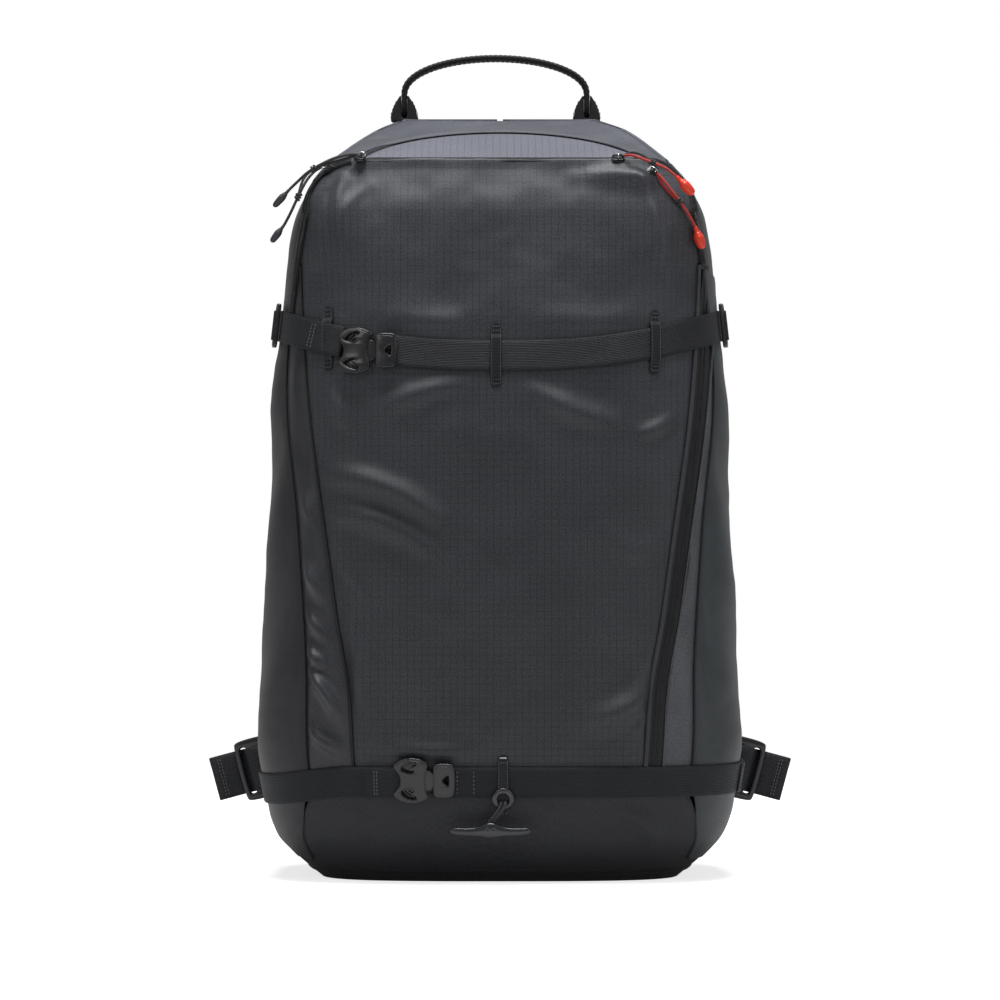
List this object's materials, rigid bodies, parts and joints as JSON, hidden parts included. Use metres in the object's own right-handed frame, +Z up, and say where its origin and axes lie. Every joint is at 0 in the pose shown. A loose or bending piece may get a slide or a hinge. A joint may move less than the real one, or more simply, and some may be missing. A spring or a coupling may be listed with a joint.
{
  "type": "ski backpack",
  "caption": "Zipped ski backpack with two lashing straps across the front, carry loop, shoulder straps and hip belt.",
  "frame": {"origin": "centre of the base mount, on the ground under the middle of the bag", "axes": "+Z up, the bag's front faces -Y and the wearer's side +Y, +X to the right seen from the front"},
  "size_m": [0.396, 0.2491, 0.5432],
  "materials": {
    "front_fabric": "fine ripstop weave, coated",
    "top_fabric": "fine ripstop weave, coated",
    "side_fabric": "dense plain weave",
    "boot_fabric": "coarse hard-wearing weave",
    "back_fabric": "plain weave",
    "frame_board": "polyethylene sheet",
    "pad_mesh": "spacer mesh over foam",
    "webbing": "woven nylon webbing",
    "black_plastic": "moulded acetal",
    "dark_metal": "blackened",
    "black_cord": "braided cord",
    "red_cord": "braided cord",
    "black_rubber": "moulded",
    "red_rubber": "moulded"
  },
  "bodies": {
    "pack": {"front_panel": "front_fabric", "gusset_left": "side_fabric", "gusset_right": "side_fabric", "side_panel_left": "side_fabric", "side_panel_right": "side_fabric", "bottom_panel": "boot_fabric", "back_panel": "back_fabric", "top_rear_panel": "front_fabric", "zip_tape": "back_fabric", "frame_sheet": "frame_board", "back_pad": "pad_mesh", "lumbar_pad": "pad_mesh", "keepers": "webbing", "upper_strap_left": "webbing", "upper_strap_right": "webbing", "lower_strap_left": "webbing", "lower_strap_right": "webbing", "upper_buckle_socket": "black_plastic", "lower_buckle_socket": "black_plastic", "upper_triglides": "black_plastic", "toggle_grommet": "dark_metal", "haul_loop_feet": "webbing", "lower_anchors": "webbing", "shoulder_webbing_left": "webbing", "shoulder_webbing_right": "webbing"},
    "lid": {"lid_panel": "top_fabric"},
    "upper_clip": {"upper_buckle_clip": "black_plastic"},
    "lower_clip": {"lower_buckle_clip": "black_plastic"},
    "toggle": {"toggle": "black_plastic", "toggle_cord": "black_cord"},
    "carry_loop": {"haul_loop": "webbing"},
    "shoulder_left": {"shoulder_pad_left": "pad_mesh", "shoulder_ladder_left": "black_plastic"},
    "shoulder_right": {"shoulder_pad_right": "pad_mesh", "shoulder_ladder_right": "black_plastic"},
    "sternum_left": {"sternum_strap_left": "black_plastic"},
    "sternum_right": {"sternum_strap_right": "black_plastic"},
    "hip_left": {"hip_fin_left": "pad_mesh", "hip_webbing_left": "webbing", "hip_ladder_left": "black_plastic"},
    "hip_right": {"hip_fin_right": "pad_mesh", "hip_webbing_right": "webbing", "hip_ladder_right": "black_plastic"},
    "main_slider_a": {"main_slider_upper": "dark_metal"},
    "main_slider_b": {"main_slider_lower": "dark_metal"},
    "pocket_slider_a": {"pocket_slider_upper": "dark_metal"},
    "pocket_slider_b": {"pocket_slider_lower": "dark_metal"},
    "pull_1": {"pull_cord_1": "black_cord", "pull_end_1": "black_rubber"},
    "pull_2": {"pull_cord_2": "black_cord", "pull_end_2": "black_rubber"},
    "pull_3": {"pull_cord_3": "red_cord", "pull_end_3": "red_rubber"},
    "pull_4": {"pull_cord_4": "red_cord", "pull_end_4": "red_rubber"}
  },
  "joints": [
    {"name": "lid_open", "type": "hinge", "parent": "pack", "child": "lid", "pos_m": [0, -0.05432, 0.4676], "axis": [1, 0, 0], "range_deg": [0, 105]},
    {"name": "upper_buckle_release", "type": "slide", "parent": "pack", "child": "upper_clip", "axis": [0.9839, -0.1788, 0], "range_m": [0, 0.021]},
    {"name": "lower_buckle_release", "type": "slide", "parent": "pack", "child": "lower_clip", "axis": [0.9994, -0.0344, 0], "range_m": [0, 0.021]},
    {"name": "toggle_swing", "type": "hinge", "parent": "pack", "child": "toggle", "pos_m": [0.002, -0.0985, 0.0553], "axis": [0, -1, 0], "range_deg": [-20, 20]},
    {"name": "carry_loop_fold", "type": "hinge", "parent": "pack", "child": "carry_loop", "pos_m": [-0.003, 0.05, 0.5095], "axis": [1, 0, 0], "range_deg": [-75, 75]},
    {"name": "shoulder_left_lift", "type": "hinge", "parent": "pack", "child": "shoulder_left", "pos_m": [-0.052, 0.09924, 0.453], "axis": [1, 0, 0], "range_deg": [0, 10]},
    {"name": "sternum_left_adjust", "type": "slide", "parent": "shoulder_left", "child": "sternum_left", "axis": [0.1876, -0.1064, 0.9765], "range_m": [-0.015, 0.015]},
    {"name": "hip_left_wrap", "type": "hinge", "parent": "pack", "child": "hip_left", "pos_m": [-0.0628, 0.11214, 0.079], "axis": [0, 0, -1], "range_deg": [0, 50]},
    {"name": "shoulder_right_lift", "type": "hinge", "parent": "pack", "child": "shoulder_right", "pos_m": [0.052, 0.09924, 0.453], "axis": [1, 0, 0], "range_deg": [0, 10]},
    {"name": "sternum_right_adjust", "type": "slide", "parent": "shoulder_right", "child": "sternum_right", "axis": [-0.1876, -0.1064, 0.9765], "range_m": [-0.015, 0.015]},
    {"name": "hip_right_wrap", "type": "hinge", "parent": "pack", "child": "hip_right", "pos_m": [0.0628, 0.11214, 0.079], "axis": [0, 0, 1], "range_deg": [0, 50]},
    {"name": "main_slider_a_run", "type": "hinge", "parent": "pack", "child": "main_slider_a", "pos_m": [0, -0.08476, 0.45712], "axis": [0, -0.3256, 0.9455], "range_deg": [-14, 0]},
    {"name": "main_slider_b_run", "type": "hinge", "parent": "pack", "child": "main_slider_b", "pos_m": [-0.093, 0, 0.432], "axis": [0, -1, 0], "range_deg": [0, 10]},
    {"name": "pocket_slider_a_run", "type": "slide", "parent": "pack", "child": "pocket_slider_a", "axis": [-1, 0, 0], "range_m": [0, 0.01]},
    {"name": "pocket_slider_b_run", "type": "slide", "parent": "pack", "child": "pocket_slider_b", "axis": [0.6196, -0.2898, -0.7295], "range_m": [0, 0.012]},
    {"name": "pull_1_swing", "type": "hinge", "parent": "main_slider_a", "child": "pull_1", "pos_m": [-0.0917, -0.0631, 0.4686], "axis": [0, -0.3261, 0.9453], "range_deg": [-14, 0]},
    {"name": "pull_2_swing", "type": "hinge", "parent": "main_slider_b", "child": "pull_2", "pos_m": [-0.1151, -0.0542, 0.4616], "axis": [-0.5981, -0.4441, 0.6671], "range_deg": [0, 10]},
    {"name": "pull_3_swing", "type": "hinge", "parent": "pocket_slider_a", "child": "pull_3", "pos_m": [0.0794, -0.0632, 0.468], "axis": [0.025, -0.5068, 0.8617], "range_deg": [0, 10]},
    {"name": "pull_4_swing", "type": "hinge", "parent": "pocket_slider_b", "child": "pull_4", "pos_m": [0.1012, -0.0672, 0.4565], "axis": [0.1909, -0.8327, 0.5198], "range_deg": [-15, 0]}
  ]
}
